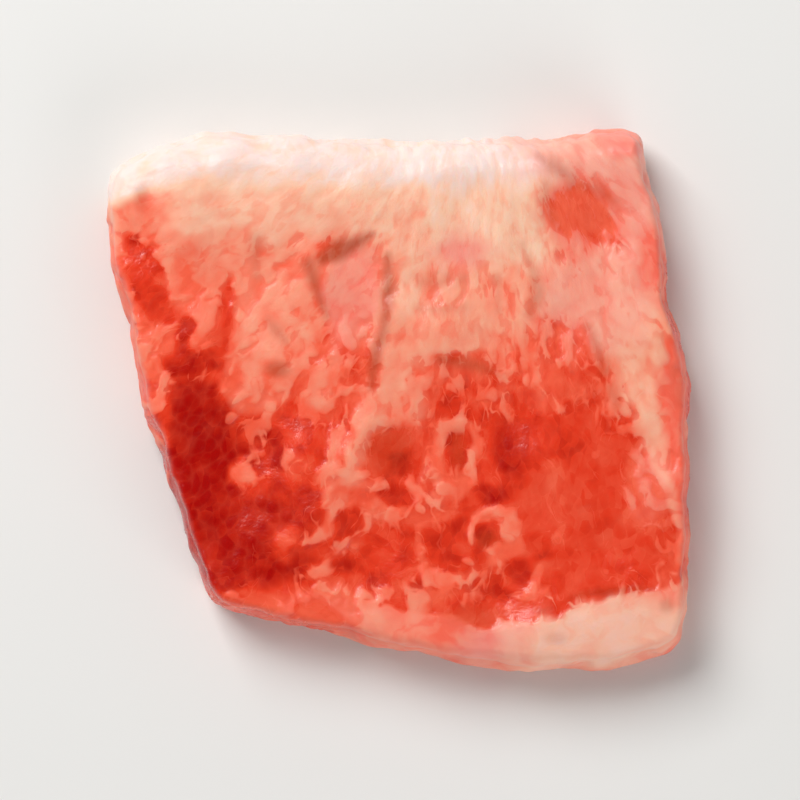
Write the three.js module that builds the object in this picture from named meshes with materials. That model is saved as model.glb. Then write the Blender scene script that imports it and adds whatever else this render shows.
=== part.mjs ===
// A boneless slice of raw beef short rib, cut across the muscle and lying flat on its underside.
// Millimetres. +Z is up, +X runs to the right, and +Y runs to the far side, where the thick fat cap is.
// The origin is under the middle of the slice's box, on the plane that it rests on.

import * as THREE from 'three';
import { mergeVertices } from 'three/addons/utils/BufferGeometryUtils.js';

// Driving dimensions, in millimetres
const THICKNESS_NEAR = 6.5;
const THICKNESS_FAR = 7.4;
const HALF_SPAN = 24.5; // middle of the slice to its edge, on average
const CORNER_POWER = 13; // higher is squarer
const SIDE_BULGE = 0.35; // how far the soft sides stand out halfway up

// Where the knife strayed from the outline; each seed picks one uneven field
const EDGE_WANDERS = [
  { size: 0.3, wavelength: 17, seedAcross: 2, seedAlong: 4 },
  { size: 0.17, wavelength: 6.1, seedAcross: 3, seedAlong: 5 },
];

// How each side rounds over at the top, as its width seen from above and its drop below the top face,
// and how far it spreads at its foot
const FAR_SIDE = { width: 4.4, drop: 4.7, flare: 0.2 };
const NEAR_SIDE = { width: 1.8, drop: 2.0, flare: 0.7 };
const LEFT_SIDE = { width: 1.4, drop: 1.5, flare: 0.7 };
const RIGHT_SIDE = { width: 1.2, drop: 1.4, flare: 0.6 };
const FOOT_ROUND = { width: 1.5, rise: 1.0 };

// The corners that don't lie quite flat: place on the slice from -1 to 1, reach and lift
const LIFTED_CORNERS = [
  { across: 1, along: 1, reach: 0.62, lift: 0.9 },
  { across: -1, along: -1, reach: 0.5, lift: 0.45 },
];

// The outline, seen from above, as four soft curves through a few points each
const FAR_EDGE = [[-26.2, 20.4], [-20.5, 22.7], [-10.5, 23.2], [2, 22.5], [11, 22.9], [18, 24], [21.9, 23.3]];
const NEAR_EDGE = [[-17.3, -18.9], [-8.5, -21], [1, -23.3], [10.5, -24.4], [19, -24.5], [26, -22.6]];
const LEFT_EDGE = [[-17.3, -18.9], [-19.9, -9.5], [-22.8, 0.8], [-25.2, 11.5], [-26.2, 20.4]];
const RIGHT_EDGE = [[26, -22.6], [26.3, -11], [25.6, 1.5], [23.6, 12.5], [21.9, 23.3]];

// Fat stands a little proud of the lean: the line each seam follows, its half width and its lift
const FAT_SEAMS = [
  { line: [[-0.4, 7], [-2, -1], [-5.2, -6.8], [-9.2, -13.8]], halfWidth: 1.3, lift: 0.32 },
  { line: [[20.6, 10], [23.2, 2], [25.2, -8]], halfWidth: 2.2, lift: 0.25 },
  { line: [[-14, -18.8], [-3, -20.4], [8, -22], [20, -21.4], [25, -19]], halfWidth: 2.2, lift: 0.4 },
  { line: [[-22, 17], [-8, 16.6], [8, 16], [10.5, 8]], halfWidth: 3, lift: 0.22 },
];

// Lean draws back below the fat: centre, radii and depth of each shallow hollow
const LEAN_HOLLOWS = [
  { centre: [16.7, 16.2], radii: [3.5, 3.7], depth: 0.45 },
  { centre: [15, -9], radii: [8, 8], depth: 0.4 },
  { centre: [-14, -9], radii: [4.5, 8], depth: 0.35 },
  { centre: [2.5, -12], radii: [5.5, 5], depth: 0.22 },
];

// Uneven swells in the soft top face
const TOP_SWELLS = [
  { size: 0.34, wavelength: 15, seed: 0 },
  { size: 0.16, wavelength: 6.5, seed: 1 },
];

// An uneven field is a sum of ripples, each turned by the golden angle from the last
const RIPPLES = 6;
const GOLDEN_ANGLE = 2.399963;
const SHORTEST_RIPPLE = 0.75; // the first ripple's length, as a share of the field's wavelength
const RIPPLE_GROWTH = 0.11; // how much longer each next one is
const RIPPLE_PHASE = 1.7;
const SWELL_SPREAD = Math.sqrt(RIPPLES * 1.5); // brings the sum to mostly between -1 and 1

// How sharply each effect is kept to the slice's edge: the power of the distance from the middle
const CORNER_PULL_POWER = 6;
const SIDE_BLEND_POWER = 8;
const WANDER_POWER = 8;
const FLARE_POWER = 10;
const HOLLOW_POWER = 4; // flat floor, soft rim
const TINY = 1e-9;

// How finely the surface is divided
const COLUMNS = 44;
const ROWS = 42;
const SIDE_ROWS = 3;
const EDGE_CROWDING = 0.55; // 0 spaces the rows evenly, 1 crowds them to the edges

const BEEF_COLOUR = 0xe0684c;
const BEEF_ROUGHNESS = 0.45;

const edgeCurve = (points) => new THREE.SplineCurve(points.map(([x, y]) => new THREE.Vector2(x, y)));
const farCurve = edgeCurve(FAR_EDGE);
const nearCurve = edgeCurve(NEAR_EDGE);
const leftCurve = edgeCurve(LEFT_EDGE);
const rightCurve = edgeCurve(RIGHT_EDGE);

// A point of the outline's inside, from its share of the way across and along (a Coons patch)
function planPoint(across, along) {
  const s = (across + 1) / 2;
  const t = (along + 1) / 2;
  const between = nearCurve.getPoint(s).multiplyScalar(1 - t)
    .addScaledVector(farCurve.getPoint(s), t)
    .addScaledVector(leftCurve.getPoint(t), 1 - s)
    .addScaledVector(rightCurve.getPoint(t), s);
  return between
    .addScaledVector(nearCurve.getPoint(0), -(1 - s) * (1 - t))
    .addScaledVector(nearCurve.getPoint(1), -s * (1 - t))
    .addScaledVector(farCurve.getPoint(0), -(1 - s) * t)
    .addScaledVector(farCurve.getPoint(1), -s * t);
}

// Spreads even steps from -1 to 1 so that they crowd towards both ends
function crowd(step) {
  return THREE.MathUtils.lerp(step, Math.sin((step * Math.PI) / 2), EDGE_CROWDING);
}

// Pulls the corners of the square in to a superellipse, and leaves its middle alone
function roundCorners(across, along) {
  const reach = Math.max(Math.abs(across), Math.abs(along));
  if (reach === 0) return [0, 0];
  const norm = (Math.abs(across) ** CORNER_POWER + Math.abs(along) ** CORNER_POWER) ** (1 / CORNER_POWER);
  const pull = THREE.MathUtils.lerp(1, reach / norm, reach ** CORNER_PULL_POWER);
  return [across * pull, along * pull];
}

// A value that belongs to each side, mixed where two sides meet at a corner
function sideValue(across, along, key) {
  const sideways = Math.abs(across) ** SIDE_BLEND_POWER;
  const lengthways = Math.abs(along) ** SIDE_BLEND_POWER;
  const share = lengthways / (sideways + lengthways + TINY);
  const lengthwaysValue = (along > 0 ? FAR_SIDE : NEAR_SIDE)[key];
  const sidewaysValue = (across > 0 ? RIGHT_SIDE : LEFT_SIDE)[key];
  return THREE.MathUtils.lerp(sidewaysValue, lengthwaysValue, share);
}

// A quarter ellipse: 1 at the very edge, 0 from the given width inwards
function edgeCurveDrop(distance, width) {
  const share = THREE.MathUtils.clamp(1 - distance / width, 0, 1);
  return 1 - Math.sqrt(1 - share * share);
}

// An uneven field of about the given wavelength, mostly between -1 and 1; each seed gives another one
function swell(x, y, wavelength, seed) {
  let sum = 0;
  for (let i = 0; i < RIPPLES; i += 1) {
    const direction = GOLDEN_ANGLE * i + seed;
    const turns = (2 * Math.PI) / (wavelength * (SHORTEST_RIPPLE + RIPPLE_GROWTH * i));
    const phase = RIPPLE_PHASE * i * (seed + 1);
    sum += Math.sin(turns * (x * Math.cos(direction) + y * Math.sin(direction)) + phase);
  }
  return sum / SWELL_SPREAD;
}

function distanceToLine(x, y, line) {
  let nearest = Infinity;
  for (let i = 0; i < line.length - 1; i += 1) {
    const [ax, ay] = line[i];
    const [bx, by] = line[i + 1];
    const lengthSquared = (bx - ax) ** 2 + (by - ay) ** 2;
    const along = THREE.MathUtils.clamp(((x - ax) * (bx - ax) + (y - ay) * (by - ay)) / lengthSquared, 0, 1);
    nearest = Math.min(nearest, Math.hypot(x - ax - along * (bx - ax), y - ay - along * (by - ay)));
  }
  return nearest;
}

// Relief of the top face: proud fat seams, shallow lean hollows and uneven swells
function topRelief(x, y) {
  let height = 0;
  for (const seam of FAT_SEAMS) {
    const share = distanceToLine(x, y, seam.line) / seam.halfWidth;
    height += seam.lift * Math.exp(-share * share);
  }
  for (const hollow of LEAN_HOLLOWS) {
    const [centreX, centreY] = hollow.centre;
    const [radiusX, radiusY] = hollow.radii;
    const share = Math.hypot((x - centreX) / radiusX, (y - centreY) / radiusY);
    height -= hollow.depth * Math.exp(-(share ** HOLLOW_POWER));
  }
  for (const kind of TOP_SWELLS) {
    height += kind.size * swell(x, y, kind.wavelength, kind.seed);
  }
  return height;
}

// How far a corner that doesn't lie flat has come off the plane
function cornerLift(across, along) {
  let lift = 0;
  for (const corner of LIFTED_CORNERS) {
    const share = Math.hypot(across - corner.across, along - corner.along) / corner.reach;
    lift += corner.lift * THREE.MathUtils.clamp(1 - share, 0, 1) ** 2;
  }
  return lift;
}

// Moves one corner of the divided box, at -1 to 1 on each axis, to its place on the slice
function slicePoint(stepAcross, stepAlong, level) {
  const squareAcross = crowd(stepAcross);
  const squareAlong = crowd(stepAlong);
  const reach = Math.max(Math.abs(squareAcross), Math.abs(squareAlong));
  const [across, along] = roundCorners(squareAcross, squareAlong);
  const plan = planPoint(across, along);

  const outward = new THREE.Vector2(across, along).normalize();
  const upShare = (level + 1) / 2;
  const flare = sideValue(squareAcross, squareAlong, 'flare');
  const spread = flare * (1 - upShare) + SIDE_BULGE * (1 - level * level);
  plan.addScaledVector(outward, spread * reach ** FLARE_POWER);

  const { x, y } = plan;
  for (const kind of EDGE_WANDERS) {
    const size = kind.size * reach ** WANDER_POWER;
    plan.x += size * swell(x + level, y, kind.wavelength, kind.seedAcross);
    plan.y += size * swell(x, y + level, kind.wavelength, kind.seedAlong);
  }

  const inset = (1 - reach) * HALF_SPAN;
  const lift = cornerLift(across, along);
  const thickness = THREE.MathUtils.lerp(THICKNESS_NEAR, THICKNESS_FAR, (along + 1) / 2);
  const drop = sideValue(squareAcross, squareAlong, 'drop')
    * edgeCurveDrop(inset, sideValue(squareAcross, squareAlong, 'width'));
  const top = thickness + topRelief(plan.x, plan.y) - drop + lift;
  const foot = FOOT_ROUND.rise * edgeCurveDrop(inset, FOOT_ROUND.width) + lift;
  return new THREE.Vector3(plan.x, plan.y, THREE.MathUtils.lerp(foot, top, upShare));
}

function makeSliceGeometry() {
  const box = new THREE.BoxGeometry(2, 2, 2, COLUMNS, ROWS, SIDE_ROWS);
  box.deleteAttribute('normal');
  box.deleteAttribute('uv');
  const geometry = mergeVertices(box);
  const position = geometry.attributes.position;
  for (let i = 0; i < position.count; i += 1) {
    const point = slicePoint(position.getX(i), position.getY(i), position.getZ(i));
    position.setXYZ(i, point.x, point.y, point.z);
  }
  geometry.computeBoundingBox();
  const middle = geometry.boundingBox.getCenter(new THREE.Vector3());
  geometry.translate(-middle.x, -middle.y, -geometry.boundingBox.min.z);
  geometry.computeVertexNormals();
  return geometry;
}

const beef = new THREE.MeshStandardMaterial({ color: BEEF_COLOUR, roughness: BEEF_ROUGHNESS, metalness: 0 });

const slice = new THREE.Mesh(makeSliceGeometry(), beef);
slice.name = 'short_rib_slice';

const shortRib = new THREE.Group();
shortRib.add(slice);

export default shortRib;
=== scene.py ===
"""A raw, boneless slice of beef short rib on a pale surface, seen from straight above.

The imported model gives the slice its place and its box. This script remakes its form on a fine mesh from
the same named sizes, works out which tissue lies where in the cut, and grows the marbling from that.
"""

import logging
import math
from dataclasses import astuple, dataclass
from enum import Enum

import bpy
import numpy as np
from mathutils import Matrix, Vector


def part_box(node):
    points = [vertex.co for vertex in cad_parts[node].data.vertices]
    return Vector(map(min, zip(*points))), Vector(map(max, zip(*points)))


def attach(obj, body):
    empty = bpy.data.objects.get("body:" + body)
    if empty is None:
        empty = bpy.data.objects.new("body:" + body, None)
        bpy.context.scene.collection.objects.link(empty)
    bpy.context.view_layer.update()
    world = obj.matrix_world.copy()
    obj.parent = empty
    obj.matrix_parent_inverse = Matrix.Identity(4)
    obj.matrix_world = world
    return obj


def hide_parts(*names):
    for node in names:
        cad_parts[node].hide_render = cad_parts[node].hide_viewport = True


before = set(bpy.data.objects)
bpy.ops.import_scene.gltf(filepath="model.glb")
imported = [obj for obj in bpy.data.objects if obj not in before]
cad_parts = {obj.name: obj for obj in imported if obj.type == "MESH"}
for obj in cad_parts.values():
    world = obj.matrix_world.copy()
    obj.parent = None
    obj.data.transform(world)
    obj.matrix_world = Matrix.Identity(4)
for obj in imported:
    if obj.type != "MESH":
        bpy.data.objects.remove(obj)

MM = 0.001  # metres in a millimetre
NODE = "short_rib_slice"

# An uneven field is a sum of this many ripples, each longer than the one before and turned away from it.
RIPPLES = 6
GOLDEN_ANGLE = 2.399963  # radians
SHORTEST_RIPPLE = 0.75  # the first ripple's length, as a share of the field's wavelength
RIPPLE_GROWTH = 0.11  # how much longer each next one is
RIPPLE_PHASE = 1.7  # how far each next one is shifted, in radians
SWELL_SPREAD = math.sqrt(RIPPLES * 1.5)  # brings the sum to mostly between -1 and 1

# Powers that say how fast an effect fades inwards from the outline.
CORNER_PULL_POWER = 6
WANDER_POWER = 8
FLARE_POWER = 10

SIDE_BLEND_POWER = 8  # how fast a size changes at a corner, from one side's to the next one's
HOLLOW_POWER = 4  # gives a hollow a flat floor and a soft rim
TINY = 1e-9  # keeps a division from failing
CURVE_STEPS = 8  # straight pieces between two points of a band
CLOUD_ROUGHNESS = 0.55  # how strongly each finer layer of a pattern's clouds shows
CLOUD_MIDDLE = 0.5  # the value that noise lies around

log = logging.getLogger("short_rib")


class Field(str, Enum):
    """The attributes that the mesh carries for its relief and its material."""

    FAT_SHARE = "fat_share"
    LEAN_TONE = "lean_tone"
    FAT_WHITENESS = "fat_whiteness"
    BLUSH = "blush"
    MEMBRANE = "membrane"
    GRAIN = "grain"
    STREAK = "streak"
    NET_STRENGTH = "net_strength"
    MOTTLE = "mottle"
    LOBULE = "lobule"


def smooth_step(low: float, high: float, value: np.ndarray) -> np.ndarray:
    """Rises smoothly from 0 at low to 1 at high."""
    share = np.clip((value - low) / (high - low), 0, 1)
    return share * share * (3 - 2 * share)


def swell(x: np.ndarray, y: np.ndarray, wavelength: float, seed: int) -> np.ndarray:
    """An uneven field, mostly between -1 and 1, as a sum of ripples turned by the golden angle.

    Args:
        x: places across, in millimetres.
        y: places along, in millimetres.
        wavelength: about how far apart its crests are, in millimetres.
        seed: picks one of many such fields.

    Returns:
        The field at each place.
    """
    total = np.zeros_like(x)
    for i in range(RIPPLES):
        direction = GOLDEN_ANGLE * i + seed
        turns = 2 * math.pi / (wavelength * (SHORTEST_RIPPLE + RIPPLE_GROWTH * i))
        along = x * math.cos(direction) + y * math.sin(direction)
        total += np.sin(turns * along + RIPPLE_PHASE * i * (seed + 1))
    return total / SWELL_SPREAD


def soft_curve(points: tuple[tuple[float, ...], ...], share: np.ndarray) -> np.ndarray:
    """A uniform Catmull-Rom curve through a few points.

    Args:
        points: the points that the curve passes through.
        share: how far along the curve, from 0 to 1.

    Returns:
        One row of coordinates for each share.
    """
    table = np.array(points, float)
    last = len(table) - 1
    place = np.clip(share, 0, 1) * last
    start = np.minimum(np.floor(place).astype(int), last)
    t = (place - start)[..., None]
    before, here = table[np.maximum(start - 1, 0)], table[start]
    after, beyond = table[np.minimum(start + 1, last)], table[np.minimum(start + 2, last)]
    leaving, arriving = (after - before) / 2, (beyond - here) / 2
    return ((2 * here - 2 * after + leaving + arriving) * t**3
            + (-3 * here + 3 * after - 2 * leaving - arriving) * t**2 + leaving * t + here)


def distance_to_line(x: np.ndarray, y: np.ndarray, line: np.ndarray) -> tuple[np.ndarray, np.ndarray]:
    """How far each place is from a bent line, and how far along the line its nearest point is.

    Args:
        x: places across, in millimetres.
        y: places along, in millimetres.
        line: the line's points, one a row.

    Returns:
        The distance in millimetres, and the nearest point's share of the line from 0 to 1.
    """
    nearest, share = np.full_like(x, np.inf), np.zeros_like(x)
    pieces = len(line) - 1
    for i in range(pieces):
        step = line[i + 1] - line[i]
        along = np.clip(((x - line[i, 0]) * step[0] + (y - line[i, 1]) * step[1]) / (step @ step), 0, 1)
        distance = np.hypot(x - line[i, 0] - along * step[0], y - line[i, 1] - along * step[1])
        share = np.where(distance < nearest, (i + along) / pieces, share)
        nearest = np.minimum(distance, nearest)
    return nearest, share


@dataclass(frozen=True)
class Side:
    """How one side of the slice is rounded, in millimetres.

    Attributes:
        width: how wide its rounded top edge is, seen from above.
        drop: how far that edge drops below the top face.
        flare: how far the side spreads at its foot.
    """

    width: float
    drop: float
    flare: float = 0


@dataclass(frozen=True)
class Swell:
    """One uneven field: its size and wavelength in millimetres, and the seeds that pick it."""

    size: float
    wavelength: float
    seeds: tuple[int, ...]


@dataclass(frozen=True)
class LiftedCorner:
    """A corner that doesn't lie flat: its place from -1 to 1, its reach on that scale, and its lift in mm."""

    across: float
    along: float
    reach: float
    lift: float


@dataclass(frozen=True)
class ProudSeam:
    """A line of fat that stands proud: its points, half width and lift, in millimetres."""

    line: tuple[tuple[float, float], ...]
    half_width: float
    lift: float


@dataclass(frozen=True)
class Hollow:
    """A place where the lean draws back: centre, radii and depth, in millimetres."""

    centre: tuple[float, float]
    radii: tuple[float, float]
    depth: float


@dataclass(frozen=True)
class SliceForm:
    """The outer form of the slice in millimetres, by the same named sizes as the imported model.

    Attributes:
        thickness_near, thickness_far: how thick it is near and far, before its edges are rounded.
        half_span: half its width, which brings distances from the outline to millimetres.
        corner_power: how square its corners are, as a superellipse's power.
        side_bulge: how far its sides bulge at half height.
        far_side, near_side, left_side, right_side: how each side is rounded.
        foot: how the edge that it rests on is rounded.
        edge_wanders: how unevenly the knife went.
        top_swells: how uneven the top face is.
        lifted_corners: the corners that don't lie flat.
        far_edge, near_edge, left_edge, right_edge: points on its outline, seen from above.
        fat_seams: the fat that stands proud.
        lean_hollows: the places where the lean draws back.
    """

    thickness_near: float = 6.5
    thickness_far: float = 7.4
    half_span: float = 24.5
    corner_power: float = 13
    side_bulge: float = 0.35
    far_side: Side = Side(4.4, 4.7, 0.2)
    near_side: Side = Side(1.8, 2.0, 0.7)
    left_side: Side = Side(1.4, 1.5, 0.7)
    right_side: Side = Side(1.2, 1.4, 0.6)
    foot: Side = Side(1.5, 1.0)
    edge_wanders: tuple[Swell, ...] = (
        Swell(0.3, 17, (2, 4)), Swell(0.17, 6.1, (3, 5)), Swell(0.07, 2.3, (6, 7)))
    top_swells: tuple[Swell, ...] = (Swell(0.34, 15, (0,)), Swell(0.16, 6.5, (1,)))
    lifted_corners: tuple[LiftedCorner, ...] = (
        LiftedCorner(1, 1, 0.62, 0.9), LiftedCorner(-1, -1, 0.5, 0.45))
    far_edge: tuple[tuple[float, float], ...] = (
        (-26.2, 20.4), (-20.5, 22.7), (-10.5, 23.2), (2, 22.5), (11, 22.9), (18, 24), (21.9, 23.3))
    near_edge: tuple[tuple[float, float], ...] = (
        (-17.3, -18.9), (-8.5, -21), (1, -23.3), (10.5, -24.4), (19, -24.5), (26, -22.6))
    left_edge: tuple[tuple[float, float], ...] = (
        (-17.3, -18.9), (-19.9, -9.5), (-22.8, 0.8), (-25.2, 11.5), (-26.2, 20.4))
    right_edge: tuple[tuple[float, float], ...] = (
        (26, -22.6), (26.3, -11), (25.6, 1.5), (23.6, 12.5), (21.9, 23.3))
    fat_seams: tuple[ProudSeam, ...] = (
        ProudSeam(((-0.4, 7), (-2, -1), (-5.2, -6.8), (-9.2, -13.8)), 1.3, 0.32),
        ProudSeam(((20.6, 10), (23.2, 2), (25.2, -8)), 2.2, 0.25),
        ProudSeam(((-14, -18.8), (-3, -20.4), (8, -22), (20, -21.4), (25, -19)), 2.2, 0.4),
        ProudSeam(((-22, 17), (-8, 16.6), (8, 16), (10.5, 8)), 3, 0.22))
    lean_hollows: tuple[Hollow, ...] = (
        Hollow((16.7, 16.2), (3.5, 3.7), 0.45), Hollow((15, -9), (8, 8), 0.4),
        Hollow((-14, -9), (4.5, 8), 0.35), Hollow((2.5, -12), (5.5, 5), 0.22))

    def plan(self, across: np.ndarray, along: np.ndarray) -> np.ndarray:
        """Fills the outline's four curves (a Coons patch).

        Args:
            across: share of the way from left to right, from -1 to 1.
            along: share of the way from near to far, from -1 to 1.

        Returns:
            The place seen from above, in millimetres.
        """
        s, t = ((across + 1) / 2)[..., None], ((along + 1) / 2)[..., None]
        near, far = soft_curve(self.near_edge, s[..., 0]), soft_curve(self.far_edge, s[..., 0])
        left, right = soft_curve(self.left_edge, t[..., 0]), soft_curve(self.right_edge, t[..., 0])
        near_left, near_right = np.array(self.near_edge[0]), np.array(self.near_edge[-1])
        far_left, far_right = np.array(self.far_edge[0]), np.array(self.far_edge[-1])
        corners = ((1 - s) * (1 - t) * near_left + s * (1 - t) * near_right
                   + (1 - s) * t * far_left + s * t * far_right)
        return (1 - t) * near + t * far + (1 - s) * left + s * right - corners

    def round_corners(self, across: np.ndarray, along: np.ndarray) -> tuple[np.ndarray, np.ndarray]:
        """Pulls the square's corners in to a superellipse, and leaves its middle alone.

        Args:
            across: from -1 at the left side to 1 at the right.
            along: from -1 at the near side to 1 at the far one.

        Returns:
            The pulled values of both.
        """
        power = self.corner_power
        reach = np.maximum(np.abs(across), np.abs(along))
        norm = (np.abs(across) ** power + np.abs(along) ** power) ** (1 / power)
        pull = 1 + (reach / np.maximum(norm, TINY) - 1) * reach**CORNER_PULL_POWER
        return across * pull, along * pull

    def side_value(self, across: np.ndarray, along: np.ndarray, key: str) -> np.ndarray:
        """Gives a size that belongs to each side, mixed where two sides meet at a corner.

        Args:
            across: from -1 at the left side to 1 at the right.
            along: from -1 at the near side to 1 at the far one.
            key: which of a side's sizes is meant.

        Returns:
            The size at each place, in millimetres.
        """
        sideways, lengthways = np.abs(across) ** SIDE_BLEND_POWER, np.abs(along) ** SIDE_BLEND_POWER
        share = lengthways / (sideways + lengthways + TINY)
        lengthways_value = np.where(along > 0, getattr(self.far_side, key), getattr(self.near_side, key))
        sideways_value = np.where(across > 0, getattr(self.right_side, key), getattr(self.left_side, key))
        return sideways_value + (lengthways_value - sideways_value) * share

    @staticmethod
    def edge_drop(distance: np.ndarray, width: np.ndarray | float) -> np.ndarray:
        """A quarter ellipse: 1 at the very edge, 0 from the given width inwards."""
        share = np.clip(1 - distance / width, 0, 1)
        return 1 - np.sqrt(1 - share * share)

    def top_relief(self, x: np.ndarray, y: np.ndarray) -> np.ndarray:
        """Raises proud fat, draws lean back and adds uneven swells.

        Args:
            x: places across, in millimetres.
            y: places along, in millimetres.

        Returns:
            The top face's relief in millimetres.
        """
        height = np.zeros_like(x)
        for seam in self.fat_seams:
            share = distance_to_line(x, y, np.array(seam.line, float))[0] / seam.half_width
            height += seam.lift * np.exp(-share * share)
        for hollow in self.lean_hollows:
            dx, dy = x - hollow.centre[0], y - hollow.centre[1]
            share = np.hypot(dx / hollow.radii[0], dy / hollow.radii[1])
            height -= hollow.depth * np.exp(-(share**HOLLOW_POWER))
        for kind in self.top_swells:
            height += kind.size * swell(x, y, kind.wavelength, kind.seeds[0])
        return height

    def corner_lift(self, across: np.ndarray, along: np.ndarray) -> np.ndarray:
        """Lifts the corners that don't lie flat.

        Args:
            across: from -1 at the left side to 1 at the right.
            along: from -1 at the near side to 1 at the far one.

        Returns:
            How far each place has come off the surface, in millimetres.
        """
        lift = np.zeros_like(across)
        for corner in self.lifted_corners:
            share = np.hypot(across - corner.across, along - corner.along) / corner.reach
            lift += corner.lift * np.clip(1 - share, 0, 1) ** 2
        return lift

    def thickness(self, along: np.ndarray) -> np.ndarray:
        """How thick the slice is before its edges are rounded, in millimetres."""
        return self.thickness_near + (self.thickness_far - self.thickness_near) * (along + 1) / 2

    def place(self, across: np.ndarray, along: np.ndarray, level: np.ndarray) -> np.ndarray:
        """Moves points of a divided box to their places on the slice.

        Args:
            across: from -1 at the left side to 1 at the right.
            along: from -1 at the near side to 1 at the far one.
            level: from -1 on the underside to 1 on the top face.

        Returns:
            Places in millimetres, one a row.
        """
        reach = np.maximum(np.abs(across), np.abs(along))
        rounded_across, rounded_along = self.round_corners(across, along)
        plan = self.plan(rounded_across, rounded_along)
        x, y = plan[..., 0], plan[..., 1]
        length = np.maximum(np.hypot(rounded_across, rounded_along), TINY)
        up = (level + 1) / 2
        flare = self.side_value(across, along, "flare")
        spread = (flare * (1 - up) + self.side_bulge * (1 - level * level)) * reach**FLARE_POWER
        x, y = x + rounded_across / length * spread, y + rounded_along / length * spread
        shift_x, shift_y = np.zeros_like(x), np.zeros_like(y)
        for kind in self.edge_wanders:
            size = kind.size * reach**WANDER_POWER
            shift_x += size * swell(x + level, y, kind.wavelength, kind.seeds[0])
            shift_y += size * swell(x, y + level, kind.wavelength, kind.seeds[1])
        x, y = x + shift_x, y + shift_y
        inset = (1 - reach) * self.half_span
        lift = self.corner_lift(rounded_across, rounded_along)
        thickness = self.thickness(rounded_along)
        drop = self.side_value(across, along, "drop") * self.edge_drop(
            inset, self.side_value(across, along, "width"))
        top = thickness + self.top_relief(x, y) - drop + lift
        foot = self.foot.drop * self.edge_drop(inset, self.foot.width) + lift
        return np.stack([x, y, foot + (top - foot) * up], axis=-1)


@dataclass(frozen=True)
class Tissue:
    """What a spot of the cut is made of. A value of None leaves what is already there.

    Attributes:
        fat: share of fat, from 0 in clean lean to 1 in solid fat.
        tone: the lean's colour, from 0 coral through 0.5 red to 1 dark red.
        white: the fat's colour, from 0 salmon through peach and cream to 1 white.
        sheet: how strongly a sheet of membrane shows, from 0 to 1.
        blush: how far blood has tinted the fat pink, from 0 to 1.
    """

    fat: float | None = None
    tone: float | None = None
    white: float | None = None
    sheet: float | None = None
    blush: float | None = None

    def over(self, mixed: np.ndarray, cover: np.ndarray) -> np.ndarray:
        """Lays this tissue over the mixed values of each place, as far as it covers the place."""
        own = np.array([astuple(self)], float)
        return mixed + (np.where(np.isnan(own), mixed, own) - mixed) * cover[:, None]


# the field that each value of a tissue goes to
TISSUE_FIELDS = (Field.FAT_SHARE, Field.LEAN_TONE, Field.FAT_WHITENESS, Field.MEMBRANE, Field.BLUSH)


@dataclass(frozen=True)
class Patch:
    """An oval of one tissue: centre and radii in millimetres, turn in degrees, and how soft its rim is."""

    tissue: Tissue
    centre: tuple[float, float]
    radii: tuple[float, float]
    turn: float = 0
    soft: float = 0.35

    def cover(self, x: np.ndarray, y: np.ndarray) -> np.ndarray:
        """Works out how much of each place the oval covers.

        Args:
            x: places across, in millimetres.
            y: places along, in millimetres.

        Returns:
            The cover, from 0 to 1.
        """
        turn = math.radians(self.turn)
        dx, dy = x - self.centre[0], y - self.centre[1]
        share = np.hypot((dx * math.cos(turn) + dy * math.sin(turn)) / self.radii[0],
                         (dy * math.cos(turn) - dx * math.sin(turn)) / self.radii[1])
        return 1 - smooth_step(1 - self.soft, 1 + self.soft, share)


@dataclass(frozen=True)
class Ring:
    """A loop of one tissue: centre, radii and half width in millimetres, and how soft its rims are."""

    tissue: Tissue
    centre: tuple[float, float]
    radii: tuple[float, float]
    half_width: float
    soft: float = 0.5

    def cover(self, x: np.ndarray, y: np.ndarray) -> np.ndarray:
        """Works out how much of each place the loop covers.

        Args:
            x: places across, in millimetres.
            y: places along, in millimetres.

        Returns:
            The cover, from 0 to 1.
        """
        share = np.hypot((x - self.centre[0]) / self.radii[0], (y - self.centre[1]) / self.radii[1])
        distance = np.abs(share - 1) * min(self.radii)
        return 1 - smooth_step(self.half_width * (1 - self.soft), self.half_width * (1 + self.soft), distance)


@dataclass(frozen=True)
class Seam:
    """A curved band of one tissue: points with the half width at each, and its softness, in millimetres."""

    tissue: Tissue
    line: tuple[tuple[float, float, float], ...]
    soft: float = 0.5

    def cover(self, x: np.ndarray, y: np.ndarray) -> np.ndarray:
        """Works out how much of each place the band covers.

        Args:
            x: places across, in millimetres.
            y: places along, in millimetres.

        Returns:
            The cover, from 0 to 1.
        """
        steps = np.linspace(0, 1, CURVE_STEPS * (len(self.line) - 1) + 1)
        curve = soft_curve(self.line, steps)
        distance, share = distance_to_line(x, y, curve[:, :2])
        half_width = np.interp(share, steps, curve[:, 2])
        return 1 - smooth_step(-self.soft, self.soft, distance - half_width)


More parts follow.
